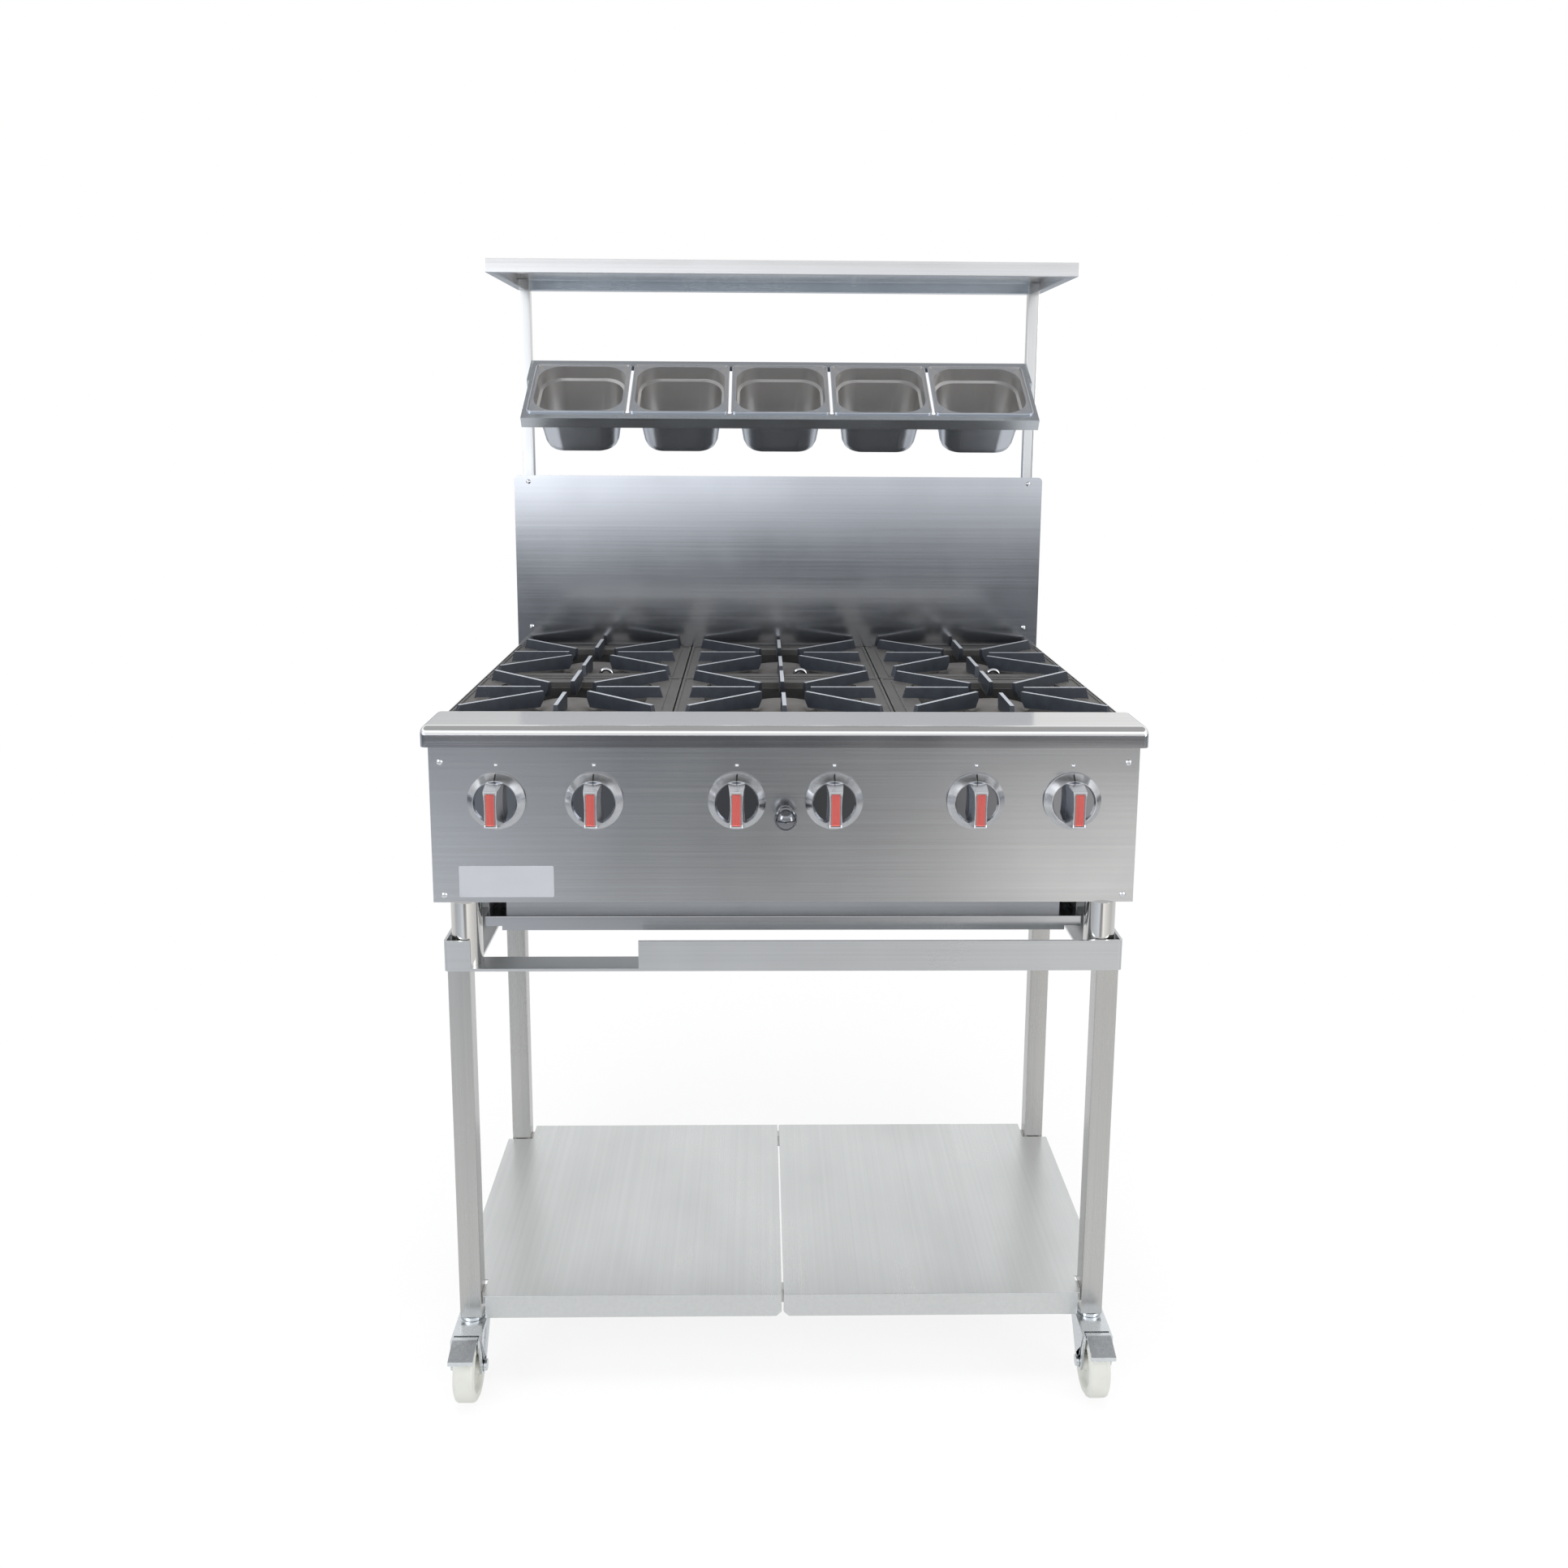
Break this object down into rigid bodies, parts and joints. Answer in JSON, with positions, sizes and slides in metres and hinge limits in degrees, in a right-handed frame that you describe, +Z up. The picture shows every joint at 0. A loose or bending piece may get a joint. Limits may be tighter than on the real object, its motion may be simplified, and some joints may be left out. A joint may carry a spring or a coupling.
{
  "type": "commercial gas range",
  "caption": "Freestanding commercial gas range: open burners under cast grates, front knobs, splashback, gantry shelf with a sloping pan rail, and a castor stand.",
  "frame": {"origin": "middle of the bounding box's footprint, on the floor under the castor wheels", "axes": "+Z up, the control panel faces -Y, +X to the right of a cook facing the panel"},
  "size_m": [1.012, 0.86, 1.696],
  "materials": {
    "stainless_sheet": "satin",
    "stainless_bright": "satin",
    "stainless_tube": "satin",
    "pan_steel": "satin",
    "cast_grate": "rough",
    "burner_iron": "rough",
    "deck_steel": "satin",
    "galvanised": "satin",
    "knob_chrome": "polished",
    "black_plastic": "gloss",
    "brass": "satin",
    "pipe_steel": "satin",
    "zinc": "satin",
    "nylon_cream": "matt",
    "plate_steel": "satin"
  },
  "bodies": {
    "range": {"bullnose_rail": "stainless_bright", "burner_bodies": "burner_iron", "burner_caps": "burner_iron", "burner_rails": "deck_steel", "castor_stems": "zinc", "fixing_screws": "knob_chrome", "front_panel": "stainless_sheet", "gantry_posts": "stainless_tube", "gas_manifold": "pipe_steel", "gas_valves": "brass", "hob_back_panel": "galvanised", "hob_base_rails": "galvanised", "hob_deck": "deck_steel", "hob_legs": "stainless_tube", "hob_side_left": "stainless_sheet", "hob_side_right": "stainless_sheet", "igniter_barrel": "zinc", "index_pins": "black_plastic", "injector_pipes": "pipe_steel", "lower_shelf_left": "stainless_bright", "lower_shelf_right": "stainless_bright", "name_plate": "plate_steel", "pan_rail": "stainless_tube", "pilot_tubes": "zinc", "rail_brackets": "stainless_tube", "shelf_bearers": "stainless_tube", "splashback": "stainless_sheet", "stand_frame": "stainless_tube", "stand_legs": "stainless_tube", "top_shelf": "stainless_bright", "tray_runners": "stainless_sheet"},
    "knob_1": {"knob_1": "knob_chrome"},
    "knob_2": {"knob_2": "knob_chrome"},
    "knob_3": {"knob_3": "knob_chrome"},
    "knob_4": {"knob_4": "knob_chrome"},
    "knob_5": {"knob_5": "knob_chrome"},
    "knob_6": {"knob_6": "knob_chrome"},
    "grate_1": {"grate_1": "cast_grate"},
    "grate_2": {"grate_2": "cast_grate"},
    "grate_3": {"grate_3": "cast_grate"},
    "grate_4": {"grate_4": "cast_grate"},
    "grate_5": {"grate_5": "cast_grate"},
    "grate_6": {"grate_6": "cast_grate"},
    "food_pan_1": {"food_pan_1": "pan_steel"},
    "food_pan_2": {"food_pan_2": "pan_steel"},
    "food_pan_3": {"food_pan_3": "pan_steel"},
    "food_pan_4": {"food_pan_4": "pan_steel"},
    "food_pan_5": {"food_pan_5": "pan_steel"},
    "drip_tray": {"drip_tray": "stainless_sheet"},
    "igniter_button": {"igniter_button": "black_plastic"},
    "castor_fork_front_left": {"castor_fork_front_left": "zinc"},
    "castor_wheel_front_left": {"castor_wheel_front_left": "nylon_cream"},
    "brake_pedal_front_left": {"brake_pedal_front_left": "zinc"},
    "castor_fork_front_right": {"castor_fork_front_right": "zinc"},
    "castor_wheel_front_right": {"castor_wheel_front_right": "nylon_cream"},
    "brake_pedal_front_right": {"brake_pedal_front_right": "zinc"},
    "castor_fork_rear_left": {"castor_fork_rear_left": "zinc"},
    "castor_wheel_rear_left": {"castor_wheel_rear_left": "nylon_cream"},
    "castor_fork_rear_right": {"castor_fork_rear_right": "zinc"},
    "castor_wheel_rear_right": {"castor_wheel_rear_right": "nylon_cream"}
  },
  "joints": [
    {"name": "knob_1_turn", "type": "hinge", "parent": "range", "child": "knob_1", "pos_m": [-0.406, -0.342, 0.91], "axis": [0, 1, 0], "range_deg": [-180, 0]},
    {"name": "knob_2_turn", "type": "hinge", "parent": "range", "child": "knob_2", "pos_m": [-0.269, -0.342, 0.91], "axis": [0, 1, 0], "range_deg": [-180, 0]},
    {"name": "knob_3_turn", "type": "hinge", "parent": "range", "child": "knob_3", "pos_m": [-0.0685, -0.342, 0.91], "axis": [0, 1, 0], "range_deg": [-180, 0]},
    {"name": "knob_4_turn", "type": "hinge", "parent": "range", "child": "knob_4", "pos_m": [0.0685, -0.342, 0.91], "axis": [0, 1, 0], "range_deg": [-180, 0]},
    {"name": "knob_5_turn", "type": "hinge", "parent": "range", "child": "knob_5", "pos_m": [0.269, -0.342, 0.91], "axis": [0, 1, 0], "range_deg": [-180, 0]},
    {"name": "knob_6_turn", "type": "hinge", "parent": "range", "child": "knob_6", "pos_m": [0.406, -0.342, 0.91], "axis": [0, 1, 0], "range_deg": [-180, 0]},
    {"name": "grate_1_lift", "type": "slide", "parent": "range", "child": "grate_1", "axis": [0, 0, 1], "range_m": [0, 0.15]},
    {"name": "grate_2_lift", "type": "slide", "parent": "range", "child": "grate_2", "axis": [0, 0, 1], "range_m": [0, 0.15]},
    {"name": "grate_3_lift", "type": "slide", "parent": "range", "child": "grate_3", "axis": [0, 0, 1], "range_m": [0, 0.15]},
    {"name": "grate_4_lift", "type": "slide", "parent": "range", "child": "grate_4", "axis": [0, 0, 1], "range_m": [0, 0.15]},
    {"name": "grate_5_lift", "type": "slide", "parent": "range", "child": "grate_5", "axis": [0, 0, 1], "range_m": [0, 0.15]},
    {"name": "grate_6_lift", "type": "slide", "parent": "range", "child": "grate_6", "axis": [0, 0, 1], "range_m": [0, 0.15]},
    {"name": "food_pan_1_lift", "type": "slide", "parent": "range", "child": "food_pan_1", "axis": [0, -0.5417, 0.8406], "range_m": [0, 0.12]},
    {"name": "food_pan_2_lift", "type": "slide", "parent": "range", "child": "food_pan_2", "axis": [0, -0.5417, 0.8406], "range_m": [0, 0.12]},
    {"name": "food_pan_3_lift", "type": "slide", "parent": "range", "child": "food_pan_3", "axis": [0, -0.5417, 0.8406], "range_m": [0, 0.12]},
    {"name": "food_pan_4_lift", "type": "slide", "parent": "range", "child": "food_pan_4", "axis": [0, -0.5417, 0.8406], "range_m": [0, 0.12]},
    {"name": "food_pan_5_lift", "type": "slide", "parent": "range", "child": "food_pan_5", "axis": [0, -0.5417, 0.8406], "range_m": [0, 0.12]},
    {"name": "drip_tray_slide", "type": "slide", "parent": "range", "child": "drip_tray", "axis": [0, -1, 0], "range_m": [0, 0.4]},
    {"name": "igniter_press", "type": "slide", "parent": "range", "child": "igniter_button", "axis": [0, 1, 0], "range_m": [0, 0.006], "stiffness_N_per_m": 800},
    {"name": "castor_swivel_front_left", "type": "hinge", "parent": "range", "child": "castor_fork_front_left", "pos_m": [-0.466, -0.334, 0.105], "axis": [0, 0, 1], "continuous": true},
    {"name": "castor_roll_front_left", "type": "hinge", "parent": "castor_fork_front_left", "child": "castor_wheel_front_left", "pos_m": [-0.466, -0.37, 0.05], "axis": [1, 0, 0], "continuous": true},
    {"name": "brake_press_front_left", "type": "hinge", "parent": "castor_fork_front_left", "child": "brake_pedal_front_left", "pos_m": [-0.466, -0.39, 0.1035], "axis": [1, 0, 0], "range_deg": [0, 7], "stiffness_Nm_per_rad": 2},
    {"name": "castor_swivel_front_right", "type": "hinge", "parent": "range", "child": "castor_fork_front_right", "pos_m": [0.466, -0.334, 0.105], "axis": [0, 0, 1], "continuous": true},
    {"name": "castor_roll_front_right", "type": "hinge", "parent": "castor_fork_front_right", "child": "castor_wheel_front_right", "pos_m": [0.466, -0.37, 0.05], "axis": [1, 0, 0], "continuous": true},
    {"name": "brake_press_front_right", "type": "hinge", "parent": "castor_fork_front_right", "child": "brake_pedal_front_right", "pos_m": [0.466, -0.39, 0.1035], "axis": [1, 0, 0], "range_deg": [0, 7], "stiffness_Nm_per_rad": 2},
    {"name": "castor_swivel_rear_left", "type": "hinge", "parent": "range", "child": "castor_fork_rear_left", "pos_m": [-0.466, 0.114, 0.105], "axis": [0, 0, 1], "continuous": true},
    {"name": "castor_roll_rear_left", "type": "hinge", "parent": "castor_fork_rear_left", "child": "castor_wheel_rear_left", "pos_m": [-0.466, 0.15, 0.05], "axis": [1, 0, 0], "continuous": true},
    {"name": "castor_swivel_rear_right", "type": "hinge", "parent": "range", "child": "castor_fork_rear_right", "pos_m": [0.466, 0.114, 0.105], "axis": [0, 0, 1], "continuous": true},
    {"name": "castor_roll_rear_right", "type": "hinge", "parent": "castor_fork_rear_right", "child": "castor_wheel_rear_right", "pos_m": [0.466, 0.15, 0.05], "axis": [1, 0, 0], "continuous": true}
  ]
}
